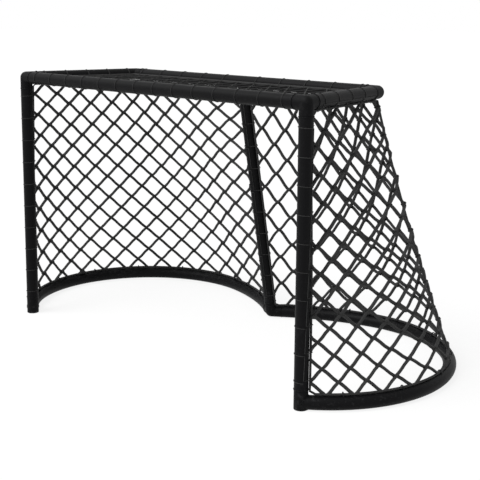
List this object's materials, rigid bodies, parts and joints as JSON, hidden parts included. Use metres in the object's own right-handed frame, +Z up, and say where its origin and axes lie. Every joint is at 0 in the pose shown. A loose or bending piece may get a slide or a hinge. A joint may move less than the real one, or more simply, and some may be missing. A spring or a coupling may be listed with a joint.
{
  "type": "hockey goal",
  "caption": "Ice hockey goal: welded round pipe frame with a two-lobed base, a flat top shelf, a slanted centre support and diamond netting.",
  "frame": {"origin": "on the ice, below the middle of the goal's bounding box", "axes": "+X along the mouth, to the right as seen from the front; +Y from the mouth to the back; +Z up"},
  "size_m": [2.4882, 1.1681, 1.2876],
  "materials": {
    "frame_pipe": "black powder coat on steel pipe",
    "frame_casting": "black powder coat on cast fittings",
    "net_cord": "black twisted nylon cord, knotted",
    "lacing_cord": "black braided nylon cord",
    "staple_wire": "black powder coat on bent steel wire"
  },
  "bodies": {
    "root": {"centre_support": "frame_pipe", "crossbar": "frame_pipe", "crossbar_lacing": "lacing_cord", "left_base_rail": "frame_pipe", "left_base_staple_1": "staple_wire", "left_base_staple_2": "staple_wire", "left_base_staple_3": "staple_wire", "left_base_staple_4": "staple_wire", "left_base_staple_5": "staple_wire", "left_base_staple_6": "staple_wire", "left_base_staple_7": "staple_wire", "left_base_staple_8": "staple_wire", "left_net_panel_1": "net_cord", "left_net_panel_2": "net_cord", "left_net_panel_3": "net_cord", "left_net_panel_4": "net_cord", "left_post": "frame_pipe", "left_post_foot": "frame_casting", "left_post_lacing": "lacing_cord", "left_rear_elbow": "frame_casting", "left_rear_lacing": "lacing_cord", "left_return_lacing": "lacing_cord", "left_top_corner": "frame_casting", "left_top_return": "frame_pipe", "notch_fitting": "frame_casting", "rear_bar": "frame_pipe", "right_base_rail": "frame_pipe", "right_base_staple_1": "staple_wire", "right_base_staple_2": "staple_wire", "right_base_staple_3": "staple_wire", "right_base_staple_4": "staple_wire", "right_base_staple_5": "staple_wire", "right_base_staple_6": "staple_wire", "right_base_staple_7": "staple_wire", "right_base_staple_8": "staple_wire", "right_net_panel_1": "net_cord", "right_net_panel_2": "net_cord", "right_net_panel_3": "net_cord", "right_net_panel_4": "net_cord", "right_post": "frame_pipe", "right_post_foot": "frame_casting", "right_post_lacing": "lacing_cord", "right_rear_elbow": "frame_casting", "right_rear_lacing": "lacing_cord", "right_return_lacing": "lacing_cord", "right_top_corner": "frame_casting", "right_top_return": "frame_pipe", "support_lacing": "lacing_cord", "top_net": "net_cord"}
  },
  "joints": []
}
